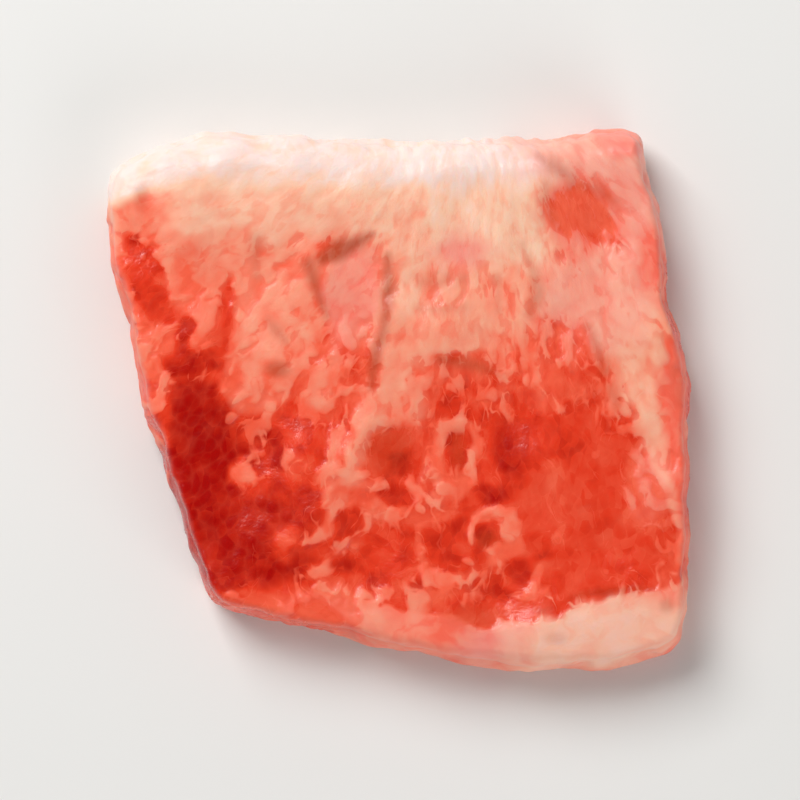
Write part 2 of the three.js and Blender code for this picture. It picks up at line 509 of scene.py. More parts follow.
@dataclass(frozen=True)
class MuscleMap:
    """Which tissue lies where in the cut. Later marks lie over earlier ones.

    Attributes:
        base: what lies everywhere at first.
        cap: the fat cap along the far edge.
        cap_width: how far it reaches in from that edge, in millimetres.
        cap_softness: how far it fades to either side of its border, in millimetres.
        cap_ends: where it fades out towards the right, in millimetres across.
        wanders: how far the borders of the marks stray.
        slope: how far the seams lean across and along, for each millimetre down.
        fan_centre: where the muscle fibres fan out from.
        fan_radius: how far from there the fibres have their true width, in millimetres.
        fat_marks, lean_marks, border_marks: the fat, the lean in it (with painted shade inside the left
            edge), and what lies along the edges (with painted shade low on the right one).
        sheet_marks: the membranes, whose borders don't stray.
    """

    base: Tissue = Tissue(0.5, 0.45, 0.06, 0, 0)
    cap: Tissue = Tissue(1, 0.3, 0.92)
    cap_width: float = 5.2
    cap_softness: float = 1.5
    cap_ends: tuple[float, float] = (10.5, 16.5)
    wanders: tuple[Swell, ...] = (Swell(0.42, 5.5, (7, 8)), Swell(0.22, 2.1, (10, 11)))
    slope: tuple[float, float] = (0.3, -0.15)
    fan_centre: tuple[float, float] = (8, 34)
    fan_radius: float = 38
    fat_marks: tuple[Patch | Ring | Seam, ...] = (
        # the broad field of fat, salmon at the left and peach in its middle
        Patch(Tissue(0.82, 0.14, 0.03), (-18.5, 8.5), (9.5, 8), soft=0.25),
        Patch(Tissue(0.86, 0.15, 0.27), (5, 10), (9.5, 7.8), soft=0.3),
        Patch(Tissue(0.88, 0.14, 0.19), (-11.4, 8), (3.9, 8.2), soft=0.4),
        Patch(Tissue(0.72, 0.2, 0.09), (-9, 0.8), (7, 2.8), soft=0.6),
        # the cream fat below the cap, and where it comes down to the left of the round eye of lean
        Seam(Tissue(0.98, 0.1, 0.45), (
            (-27, 17.5, 3.4), (-14, 17.6, 3.5), (-2, 17.4, 3.6), (8, 17, 4), (13, 18, 3)), 1.4),
        Seam(Tissue(None, None, 0.6), ((-26, 19, 0.5), (-10, 19, 0.7), (2, 19, 1.1), (12, 20, 1.6)), 1.6),
        Patch(Tissue(0.98, 0.1, 0.6), (7, 15.8), (7.3, 4.2), soft=0.45),
        Seam(Tissue(0.98, 0.1, 0.55), ((8.8, 18, 1.8), (10.6, 15.5, 1.8), (12.9, 12, 0.9)), 0.9),
        # the pinkish fat around that eye, and the redder end of the field at the far left corner
        Patch(Tissue(0.95, 0.1, 0.3, blush=0.45), (21.8, 16), (4, 8), soft=0.4),
        Patch(Tissue(0.98, 0.1, 0.44, blush=0.45), (17.4, 21.8), (6.6, 3.4), soft=0.4),
        Patch(Tissue(None, None, 0.14), (21.6, 23), (3, 1.6), soft=0.6),
        Patch(Tissue(0.94, 0.08, 0.3, blush=0.3), (17.8, 8.2), (5.3, 4.8), soft=0.35),
        Patch(Tissue(None, None, 0.1), (-23.2, 15.6), (2.5, 2.8), soft=0.5),
        # the pale vein that comes down through the field, and single spots
        Seam(Tissue(0.99, 0.1, 0.42), ((1.2, 18, 1.4), (1.3, 11, 1), (0.9, 4.5, 0.9), (0.2, 1, 0.8)), 0.7),
        Patch(Tissue(0.95, None, 0.28), (4.2, 5), (5, 2.3), soft=0.5),
        Patch(Tissue(0.92, 0.05, 0.1), (-19.3, 12), (2.3, 2), soft=0.5),
        Patch(Tissue(0.96, 0.1, 0.26), (-15.9, 13.4), (2, 1.4), soft=0.6),
        Patch(Tissue(0.93, 0.05, 0.24, blush=0.5), (5.6, 12.9), (2.4, 1.5), soft=0.9),
        Patch(Tissue(0.93, 0.1, 0.17), (-11.2, 4.2), (1.3, 1.1), soft=0.6),
        Patch(Tissue(0.94, 0.1, 0.16), (-7.4, 10.2), (2, 2.6), soft=0.6),
        Patch(Tissue(0.93, 0.02, 0.17, blush=0.3), (-4.3, 8.6), (2.4, 4.6), -8, 0.35),
    )
    lean_marks: tuple[Patch | Ring | Seam, ...] = (
        # mixed ground in the middle, and streaks of lean at the left
        Patch(Tissue(0.57, 0.4, 0.1), (2.6, -10.6), (5.4, 6.5), soft=0.6),
        Patch(Tissue(0.45, 0.3, 0.02), (-4.7, 2.8), (1.7, 2.2), soft=0.5),
        Seam(Tissue(0.12, 0.6, 0), ((-23.7, 13.4, 0.9), (-23.2, 11, 1.7), (-21.5, 7, 1.4)), 0.9),
        Seam(Tissue(0.12, 0.55, 0), (
            (-15, 9.8, 0.4), (-15.6, 7, 0.9), (-16.2, 4.4, 1), (-17, 2.6, 0.9)), 0.8),
        Patch(Tissue(0.62, 0.14, 0.02), (-21, 3.7), (1.5, 2), soft=0.5),
        Patch(Tissue(0.06, 0.85, 0), (-19, 2.7), (2.2, 1.1), soft=0.5),
        Patch(Tissue(0.12, 0.72, 0), (-19.1, 5.2), (0.8, 1.6), soft=0.5),
        # the round eye of lean
        Patch(Tissue(0.7, 0.04, 0.12, blush=0.3), (17.2, 15.6), (4, 3.3), -40, 0.5),
        Patch(Tissue(0.12, 0.06, 0.05), (16.7, 16.4), (3, 2.1), -40, 0.45),
        Patch(Tissue(0.4, 0.14, 0, blush=0.3), (19.5, 12.9), (1.3, 2), 10, 0.7),
        # the large lean at the right, and the mixed ground around it
        Patch(Tissue(0.08, 0.42, 0), (16.2, -10.3), (9, 8), soft=0.25),
        Patch(Tissue(0.05, 0.62, 0), (12.2, -4.8), (4.3, 2.4), soft=0.5),
        Patch(Tissue(0.04, 0.84, 0), (10.4, -5.8), (1.2, 2.4), 8, 0.7),
        Patch(Tissue(0.04, 0.85, 0), (8.4, -9.1), (1.9, 0.7), -8, 0.7),
        Patch(Tissue(0.6, 0.3, 0.07), (14.5, 2.6), (4.4, 3.8), soft=0.4),
        Patch(Tissue(0.5, 0.34, 0.1), (6.6, 2.4), (3.4, 1.2), soft=0.5),
        Seam(Tissue(0.2, 0.14, 0), ((14.4, -6.4, 0.4), (14.6, -9, 0.6), (14.7, -13, 0.5)), 0.9),
        Patch(Tissue(0.66, 0.12, 0.08, blush=0.2), (22.7, -9.2), (2, 3.8), soft=0.5),
        # marbled lean beside the middle vein, with spots of fat
        Patch(Tissue(0.34, 0.62, 0), (-11.6, -5.4), (4.8, 6.4), soft=0.3),
        Patch(Tissue(0.12, 0.8, 0), (-10.9, -5.6), (0.8, 2), -6, 0.6),
        Patch(Tissue(0.18, 0.72, 0), (-12.9, -5.8), (0.9, 1.4), soft=0.7),
        Patch(Tissue(0.82, 0.2, 0.12), (-12.4, 0.2), (2.6, 2.1), soft=0.6),
        Patch(Tissue(0.62, 0.2, 0.03), (-8.8, -6.8), (1.1, 1.7), soft=0.6),
        Patch(Tissue(0.46, 0.55, 0.04), (-8.5, -3.2), (2.2, 1.8), soft=0.6),
        Patch(Tissue(0.82, 0.2, 0.12), (-0.2, -1.4), (3, 1.7), soft=0.5),
        Patch(Tissue(0.24, 0.6, 0), (6.1, -1.5), (2, 1.2), soft=0.6),
        Patch(Tissue(0.42, 0.42, 0), (-4.7, -2), (1.3, 1.7), soft=0.7),
        # painted shade: a dark red strip just inside the left edge; beside it, darker lean and specks of fat
        Patch(Tissue(0.03, 0.97, 0), (-17.2, -8), (3.3, 10.5), 10, 0.3),
        Patch(Tissue(0.12, 0.92, 0), (-12.6, -14), (5, 4.4), soft=0.35),
        Patch(Tissue(0.36, 0.55, 0), (-10, -13.7), (1.6, 1.5), soft=0.7),
        Patch(Tissue(0.6, 0.1, 0.02), (-14.1, -7.4), (0.8, 1.1), soft=0.5),
        # the middle vein, and islands of lean beside it
        Seam(Tissue(0.98, 0.2, 0.22), (
            (0.5, 4, 1.2), (-1.6, -1, 1.2), (-3.6, -5.8, 1), (-5.4, -9.6, 0.8)), 0.5),
        Seam(Tissue(0.93, 0.2, 0.1), ((-5.2, -9.2, 0.8), (-6.3, -11.2, 0.7), (-7.7, -13.6, 0.4)), 0.4),
        Patch(Tissue(0.06, 0.4, 0), (-0.9, -5.4), (2.4, 2.4), soft=0.35),
        Patch(Tissue(0.04, 0.78, 0), (0.3, -7), (1.5, 1.1), soft=0.6),
        Patch(Tissue(0.08, 0.74, 0), (-8.2, -10), (1.1, 1.4), soft=0.6),
        # two loops of fat around lean
        Ring(Tissue(0.86, 0.2, 0.1), (5.4, -5.8), (1.6, 2.9), 0.5),
        Patch(Tissue(0.1, 0.6, 0), (5.5, -5.2), (0.9, 2.2), soft=0.6),
        Ring(Tissue(0.8, 0.2, 0.08), (8.7, -13), (2, 2.1), 0.8),
        Patch(Tissue(0.25, 0.6, 0), (7.2, -14.8), (1.1, 0.8), -40, 0.7),
        Patch(Tissue(0.1, 0.74, 0), (8.3, -13.2), (1.1, 1), soft=0.7),
        # islands of lean in the near half
        Patch(Tissue(0.22, 0.55, 0), (-0.4, -14.6), (3.2, 2.6), soft=0.5),
        Patch(Tissue(0.2, 0.55, 0), (4.6, -14.2), (1.7, 1.9), soft=0.5),
        Patch(Tissue(0.1, 0.7, 0), (5.8, -12.3), (0.9, 0.8), soft=0.7),
        Patch(Tissue(0.06, 0.78, 0), (11, -16.2), (1.2, 0.9), soft=0.8),
        Patch(Tissue(0.06, 0.75, 0), (9.2, -18.4), (1.3, 1), soft=0.8),
        Patch(Tissue(0.1, 0.7, 0), (13.3, -14.9), (1, 0.8), soft=0.8),
        *(Patch(Tissue(0.08, 0.74, 0), centre, (1.1, 0.9), soft=0.7)
          for centre in ((-0.3, -9.4), (-4.5, -11.8), (-8.4, -14.9), (-5, -16), (-1.6, -17.3))),
        # flecks of fat between them
        Patch(Tissue(0.62, 0.2, 0.03), (-9.6, -13.3), (1.1, 0.7), soft=0.7),
        Patch(Tissue(0.8, 0.2, 0.06), (-7.4, -16.6), (1.3, 0.7), soft=0.5),
        Patch(Tissue(0.88, 0.2, 0.06), (-1.8, -10.7), (1.2, 0.8)),
        Patch(Tissue(0.85, 0.2, 0.08), (3.6, -9.7), (1, 0.9)),
        Patch(Tissue(0.82, 0.2, 0.07), (4.9, -17), (1.1, 0.8), 20),
        Patch(Tissue(0.66, 0.2, 0.04), (12.6, -17.4), (1.5, 0.6), 50),
        Seam(Tissue(0.7, 0.2, 0.04), ((2, -12.2, 0.2), (2.1, -15, 0.3), (2.2, -17.6, 0.2)), 0.4),
    )
    border_marks: tuple[Patch | Ring | Seam, ...] = (
        # the seam down the right side, and the redder strip outside it; below the seam's end that strip is
        # painted shade of the slice's right side
        Seam(Tissue(0.94, 0.1, 0.36), (
            (20.2, 11, 2.2), (21.7, 5.5, 2.8), (23.3, -1, 2.5), (25.1, -8, 1.3), (25.8, -12, 0.5)), 0.8),
        Seam(Tissue(0.86, 0.16, -0.04, blush=0.14), (
            (25.3, 4.6, 0.5), (25.3, 1.6, 1.1), (25.5, -2, 1.5), (26.2, -8, 1.3), (26.4, -14, 1)), 0.8),
        Patch(Tissue(0.9, 0.05, 0.02, blush=0.2), (23.3, 12.1), (1.5, 3), soft=0.5),
        # the near band of fat, then how its colour and its upper border change
        Seam(Tissue(0.97, 0.15, 0.06, blush=0.12), (
            (-13.8, -19.9, 0.7), (-9, -20.4, 1.8), (-3, -22, 2.7), (5, -23.8, 2.9), (12, -24.2, 3.35),
            (19, -22.9, 3.8), (27.5, -20.9, 3.8)), 0.4),
        Patch(Tissue(0.34, 0.2, -0.1, blush=0.1), (-9.8, -20.3), (6, 1.8), -14, 0.5),
        Patch(Tissue(0.8, 0.15, 0.12), (-5, -18.5), (2.2, 0.9), -10, 0.5),
        Patch(Tissue(None, None, 0.16), (-1.8, -21), (4.8, 2.6), soft=0.6),
        Patch(Tissue(None, None, 0.22, blush=0.6), (9.6, -23), (3.6, 2), soft=0.6),
        Patch(Tissue(None, None, 0.6, blush=0.22), (18.6, -22.2), (9, 3.4), 8, 0.45),
        Patch(Tissue(0.2, 0.35, 0), (10, -19.8), (2.4, 1), 6, 0.6),
        Patch(Tissue(None, None, 0.24), (25.6, -17.6), (1.6, 2), soft=0.5),
    )
    sheet_marks: tuple[Patch | Ring | Seam, ...] = (
        # the broad field's brown fold and the lines below its two ends
        Seam(Tissue(sheet=1), (
            (-6.8, 12.1, 0.5), (-5.4, 12.8, 0.9), (-3.8, 13.5, 0.6), (-2.4, 14.3, 0.2)), 0.6),
        Seam(Tissue(sheet=0.8), ((-8, 11.6, 0.6), (-7.4, 9.4, 0.4), (-6.5, 7, 0.15)), 0.6),
        Seam(Tissue(sheet=0.85), (
            (-0.9, 12.4, 0.2), (-0.9, 9, 0.5), (-1.2, 6, 0.4), (-2, 3.2, 0.5), (-2.4, 0.4, 0.2)), 0.55),
        # fainter lines and spots, in the broad field and below it
        Seam(Tissue(sheet=0.4), ((-12.8, 13.8, 0.5), (-12.7, 10.6, 0.3)), 0.8),
        Seam(Tissue(sheet=0.5), ((-11.6, 6.4, 0.3), (-11, 5.6, 0.5), (-10.2, 4.6, 0.2)), 0.6),
        Patch(Tissue(sheet=0.7), (-10.9, 2.1), (1.1, 0.7), soft=0.6),
        Seam(Tissue(sheet=0.42), ((2.2, 9.9, 0.3), (4.2, 10, 0.5), (6, 10.3, 0.2)), 1),
        Seam(Tissue(sheet=0.4), ((1.8, 7.6, 0.2), (3.6, 7.5, 0.35), (6, 7.7, 0.1)), 0.8),
        Seam(Tissue(sheet=0.45), ((11.3, 13.4, 0.2), (12.6, 9.4, 0.5), (12, 7.2, 0.4)), 0.6),
        Seam(Tissue(sheet=0.4), ((9, 10.4, 0.3), (9.2, 7.4, 0.2)), 0.6),
        Seam(Tissue(sheet=0.6), ((3.9, 3, 0.4), (7, 2.4, 0.5), (9, 1.7, 0.2)), 0.6),
        Seam(Tissue(sheet=0.5), ((17.4, 5.8, 0.3), (18.8, 2, 0.5)), 0.6),
        # silver skin over islands of lean
        Patch(Tissue(sheet=0.34), (-0.9, -5.2), (2.2, 2.3), soft=0.5),
        Patch(Tissue(sheet=0.4), (5.6, -5.2), (0.7, 1.9), soft=0.6),
        Patch(Tissue(sheet=0.45), (8.2, -13.3), (1, 0.8), soft=0.6),
        Patch(Tissue(sheet=0.28), (6.8, -20.4), (2.4, 1), soft=0.7),
        # around the round eye of lean
        Seam(Tissue(sheet=0.6), ((12.6, 21.4, 0.3), (14, 20.6, 0.6), (15.4, 19.6, 0.3)), 0.8),
        Seam(Tissue(sheet=0.4), ((13.4, 18.8, 0.3), (13.5, 17, 0.4), (14.3, 15.2, 0.2)), 0.8),
        Seam(Tissue(sheet=0.4), ((15.6, 18.9, 0.3), (18, 18.5, 0.4), (19.7, 17.2, 0.2)), 0.8),
        # along the near band, the right seam and the far left corner
        Seam(Tissue(sheet=0.45), ((15.6, -18.7, 0.1), (18.5, -18.1, 0.3), (23.2, -18, 0.2)), 0.5),
        Seam(Tissue(sheet=0.4), ((19.2, 0.4, 0.4), (20, -1.2, 0.3)), 0.7),
        Seam(Tissue(sheet=0.3), ((25.2, 2.4, 0.3), (25.6, -0.8, 0.5)), 0.8),
        Patch(Tissue(sheet=0.4), (-23.2, 17.6), (0.6, 1.2), soft=0.8),
        Patch(Tissue(sheet=0.4), (24.4, -19.4), (0.6, 0.6), soft=0.7),
        Patch(Tissue(sheet=0.3), (14.3, -22.3), (0.9, 0.5), soft=0.7),
    )

    def stray(self, x: np.ndarray, y: np.ndarray, axis: int) -> np.ndarray:
        """How far borders stray along one axis, in millimetres."""
        return sum(kind.size * swell(x, y, kind.wavelength, kind.seeds[axis]) for kind in self.wanders)

    def fields(self, places: np.ndarray, inset_far: np.ndarray, depth: np.ndarray) -> dict[Field, np.ndarray]:
        """Works out every field at every vertex.

        Args:
            places: the vertices in millimetres, one a row.
            inset_far: how far each lies in from the far edge, in millimetres.
            depth: how far each lies below the top face, in millimetres.

        Returns:
            The values of each field.
        """
        x, y = places[:, 0] + self.slope[0] * depth, places[:, 1] + self.slope[1] * depth
        bent_x, bent_y = x + self.stray(x, y, 0), y + self.stray(x, y, 1)
        mixed = self.base.over(np.zeros((len(x), len(TISSUE_FIELDS))), np.ones_like(x))
        for mark in (*self.fat_marks, *self.lean_marks, *self.border_marks):
            mixed = mark.tissue.over(mixed, mark.cover(bent_x, bent_y))
        for mark in self.sheet_marks:
            mixed = mark.tissue.over(mixed, mark.cover(x, y))
        strayed = inset_far + self.stray(x, y, 1) / 2  # the cap's border is half as uneven as the marks'
        narrow, wide = self.cap_width - self.cap_softness, self.cap_width + self.cap_softness
        cover = 1 - smooth_step(narrow, wide, strayed)
        mixed = self.cap.over(mixed, cover * (1 - smooth_step(*self.cap_ends, x)))
        from_fan_x, from_fan_y = x - self.fan_centre[0], self.fan_centre[1] - y
        grain = np.stack([np.arctan2(from_fan_x, from_fan_y) * self.fan_radius,
                          np.hypot(from_fan_x, from_fan_y), depth], axis=1)
        return {**dict(zip(TISSUE_FIELDS, mixed.T)), Field.GRAIN: grain}


def linear(hex_colour: str) -> tuple[float, float, float, float]:
    """Turns an sRGB hex colour into the linear colour that a node takes.

    Args:
        hex_colour: the colour, as in "#F6684A".

    Returns:
        Red, green, blue and a full alpha, from 0 to 1.
    """
    # the numbers are those of the sRGB standard
    channels = [int(hex_colour[i:i + 2], 16) / 255 for i in (1, 3, 5)]
    lit = [c / 12.92 if c <= 0.04045 else ((c + 0.055) / 1.055) ** 2.4 for c in channels]
    return (*lit, 1.0)


def add_node(tree: bpy.types.NodeTree, kind: str, settings: dict | None = None, inputs: dict | None = None,
             stops: tuple[tuple[float, str], ...] = ()) -> bpy.types.Node:
    """Adds one node with its settings and links.

    Args:
        tree: the tree that it goes in.
        kind: its Blender type.
        settings: its properties by name.
        inputs: a number, a node or a node's socket for each input, by the input's name or number.
        stops: for a colour ramp, the place at which each colour is whole, lowest first.

    Returns:
        The new node.
    """
    node = tree.nodes.new(kind)
    for name, value in (settings or {}).items():
        setattr(node, name, value)
    for key, value in (inputs or {}).items():
        by_name = (s for s in node.inputs if s.name == key and not s.is_unavailable)
        socket = node.inputs[key] if isinstance(key, int) else next(by_name)
        if isinstance(value, bpy.types.Node):
            value = next(s for s in value.outputs if not s.is_unavailable)
        if isinstance(value, bpy.types.NodeSocket):
            tree.links.new(value, socket)
        else:
            socket.default_value = value
    for number, (place, colour) in enumerate(stops):
        elements = node.color_ramp.elements
        element = elements[number] if number < len(elements) else elements.new(place)
        element.position = place
        element.color = linear(colour)
    return node


Source = bpy.types.Node | bpy.types.NodeSocket  # what the input of a node can be linked to
SMOOTH = {"interpolation_type": "SMOOTHSTEP"}  # for a Map Range node that starts and ends gently


@dataclass(frozen=True)
class Rise:
    """How one value follows another: it goes from low to high while the other goes from start to end."""

    start: float
    end: float
    low: float = 0.0
    high: float = 1.0

    def of(self, value: Source) -> dict[str, Source | float]:
        """Gives a Map Range node's inputs for this.

        Args:
            value: what gives the value that is followed.

        Returns:
            Each input by its name.
        """
        return {"Value": value, "From Min": self.start, "From Max": self.end,
                "To Min": self.low, "To Max": self.high}


@dataclass(frozen=True)
class Pattern:
    """An uneven pattern of a real size. It has no random draw: a place always gives the same value.

    Attributes:
        size: about how large its shapes are across, along and below the muscle fibres, in millimetres.
        detail: how many finer layers its clouds have.
    """

    size: tuple[float, float, float]
    detail: float = 0.0

    def clouds(self, tree: bpy.types.NodeTree, places: Source) -> bpy.types.Node:
        """Adds the pattern as soft clouds.

        Args:
            tree: the tree that it goes in.
            places: what gives the place, in millimetres.

        Returns:
            The node that gives it, from -0.5 to 0.5.
        """
        scaled = add_node(tree, "ShaderNodeVectorMath", {"operation": "DIVIDE"}, {0: places, 1: self.size})
        clouds = add_node(tree, "ShaderNodeTexNoise", None, {
            "Vector": scaled, "Scale": 1.0, "Detail": self.detail, "Roughness": CLOUD_ROUGHNESS})
        return add_node(tree, "ShaderNodeMath", {"operation": "SUBTRACT"}, {0: clouds, 1: CLOUD_MIDDLE})

    def grains(self, tree: bpy.types.NodeTree, places: Source) -> bpy.types.Node:
        """Adds the pattern as rounded grains, packed side by side.

        Args:
            tree: the tree that it goes in.
            places: what gives the place, in millimetres.

        Returns:
            The node that gives the distance from each grain's middle, and a colour of its own.
        """
        scaled = add_node(tree, "ShaderNodeVectorMath", {"operation": "DIVIDE"}, {0: places, 1: self.size})
        return add_node(tree, "ShaderNodeTexVoronoi", {"feature": "F1"}, {"Vector": scaled, "Scale": 1.0})


@dataclass(frozen=True)
class Veins:
    """The nodes that the marbling leaves for the relief and for the colours.

    Attributes:
        fat: gives 1 where there is fat, and 0 in lean.
        inside: gives how deep inside the fat each place is.
        bundles: gives the bundles of muscle fibres, as grains.
    """

    fat: bpy.types.Node
    inside: bpy.types.Node
    bundles: bpy.types.Node


@dataclass(frozen=True)
class Marbling:
    """How fat is spread through lean. Fat lies in thin branching sheets between the bundles of fibres.

    A cut shows them as wandering veins: a few thin flecks where there is little fat, and where there is much,
    only islands of lean between them.

    Attributes:
        vein, fleck: the larger and the finer net of fat.
        vein_width, fleck_width: how wide each net grows, on the scale of its clouds.
        thinning: what every net loses, so that its thinnest parts break up.
        pool, pool_gain: spots of fat, and how soon they grow with its share.
        bundle: the bundles of muscle fibres.
        streak, streak_gain: stripes in which fat and lean alternate, and how far they shift its share.
        mottle: clouds in every colour.
        lobule: the lobules that fat is made of.
        gaps, presence: the clouds that break up the nets, and how strong the nets are as these rise.
        net_power: how soon the nets grow with the share of fat.
        warp, warp_size: how far the pattern strays, and how soon, in millimetres.
        edge: where fat begins, as the depth inside it rises.
        solid: where fat closes up, as its share rises.
    """

    vein: Pattern = Pattern((2.3, 4.4, 6.0), 1.0)
    fleck: Pattern = Pattern((1.1, 2.0, 3.0), 0.5)
    vein_width: float = 0.2
    fleck_width: float = 0.16
    thinning: float = 0.024
    pool: Pattern = Pattern((1.7, 2.2, 3.0), 0.5)
    pool_gain: float = 0.3
    bundle: Pattern = Pattern((0.62, 1.15, 1.6))
    streak: Pattern = Pattern((1.5, 10, 9), 2.0)
    streak_gain: float = 4.5
    mottle: Pattern = Pattern((1.8, 1.8, 1.8), 4.0)
    lobule: Pattern = Pattern((1.6, 2.1, 1.8))
    gaps: tuple[Pattern, ...] = (Pattern((4.2, 5.46, 5.46), 2.0), Pattern((1.5, 1.95, 1.95), 2.0))
    presence: Rise = Rise(-0.14, 0.12, 0.1, 1.6)
    net_power: float = 1.5
    warp: float = 0.7
    warp_size: float = 3.0
    edge: Rise = Rise(-0.024, 0.028)
    solid: Rise = Rise(0.75, 0.97)

    def spread(self, tree: bpy.types.NodeTree, share: Source, grain: Source) -> dict[Field, bpy.types.Node]:
        """Works out the fields that change slowly enough to be kept at the mesh's vertices.

        Args:
            tree: the shape's tree.
            share: what gives the share of fat at each place.
            grain: what gives the place across, along and below the fibres, in millimetres.

        Returns:
            The node that gives each field.
        """
        bent = add_node(tree, "ShaderNodeTexNoise", None, {
            "Vector": grain, "Scale": 1 / self.warp_size, "Detail": 2.0, "Roughness": 0.5})
        bent = add_node(tree, "ShaderNodeVectorMath", {"operation": "SUBTRACT"}, {
            0: bent.outputs["Color"], 1: (CLOUD_MIDDLE,) * 3})
        bent = add_node(tree, "ShaderNodeVectorMath", {"operation": "MULTIPLY_ADD"}, {
            0: bent, 1: (2 * self.warp,) * 3, 2: grain})

        # The stripes shift the share of fat most where it is a half, and not at all where it is 0 or 1.
        streak = self.streak.clouds(tree, bent)
        room = add_node(tree, "ShaderNodeMath", {"operation": "SUBTRACT"}, {0: 1.0, 1: share})
        room = add_node(tree, "ShaderNodeMath", {"operation": "MULTIPLY"}, {0: room, 1: share})
        room = add_node(tree, "ShaderNodeMath", {"operation": "MULTIPLY"}, {0: room, 1: self.streak_gain})
        streaked = add_node(tree, "ShaderNodeMath", {"operation": "MULTIPLY_ADD"}, {
            0: streak, 1: room, 2: share})

        # The nets of fat grow with its share, and fade where the clouds between them are low.
        strength = add_node(tree, "ShaderNodeMath", {"operation": "MAXIMUM"}, {0: streaked, 1: 0.0})
        strength = add_node(tree, "ShaderNodeMath", {"operation": "POWER"}, {0: strength, 1: self.net_power})
        for gap in self.gaps:
            presence = add_node(tree, "ShaderNodeMapRange", None, self.presence.of(gap.clouds(tree, bent)))
            strength = add_node(tree, "ShaderNodeMath", {"operation": "MULTIPLY"}, {0: strength, 1: presence})
        return {Field.GRAIN: bent, Field.STREAK: streak, Field.FAT_SHARE: streaked,
                Field.NET_STRENGTH: strength, Field.MOTTLE: self.mottle.clouds(tree, grain),
                Field.LOBULE: self.lobule.grains(tree, bent)}

    def grow(self, tree: bpy.types.NodeTree, fields: dict[Field, Source]) -> Veins:
        """Adds the fat to a material's tree or to the shape's.

        Args:
            tree: the tree that it goes in.
            fields: what gives each field.

        Returns:
            The nodes that give it.
        """
        bent, share = fields[Field.GRAIN], fields[Field.FAT_SHARE]
        # spots of fat, where clouds are high
        inside = add_node(tree, "ShaderNodeMath", {"operation": "MULTIPLY_ADD"}, {
            0: share, 1: self.pool_gain, 2: -self.pool_gain})
        inside = add_node(tree, "ShaderNodeMath", {"operation": "ADD"}, {
            0: inside, 1: self.pool.clouds(tree, bent)})
        # nets of thin sheets, where clouds pass through 0
        for net, widest in ((self.vein, self.vein_width), (self.fleck, self.fleck_width)):
            from_sheet = add_node(tree, "ShaderNodeMath", {"operation": "ABSOLUTE"}, {
                0: net.clouds(tree, bent)})
            width = add_node(tree, "ShaderNodeMath", {"operation": "MULTIPLY_ADD"}, {
                0: fields[Field.NET_STRENGTH], 1: widest, 2: -self.thinning})
            in_net = add_node(tree, "ShaderNodeMath", {"operation": "SUBTRACT"}, {0: width, 1: from_sheet})
            inside = add_node(tree, "ShaderNodeMath", {"operation": "MAXIMUM"}, {0: inside, 1: in_net})
        fat = add_node(tree, "ShaderNodeMapRange", SMOOTH, self.edge.of(inside))
        solid = add_node(tree, "ShaderNodeMapRange", SMOOTH, self.solid.of(share))
        fat = add_node(tree, "ShaderNodeMath", {"operation": "MAXIMUM"}, {0: fat, 1: solid})
        return Veins(fat, inside, self.bundle.grains(tree, bent))


@dataclass(frozen=True)
class Layer:
    """One layer of relief: its name, its height in millimetres, and how it follows what makes it."""

    name: str
    height: float
    follows: Rise


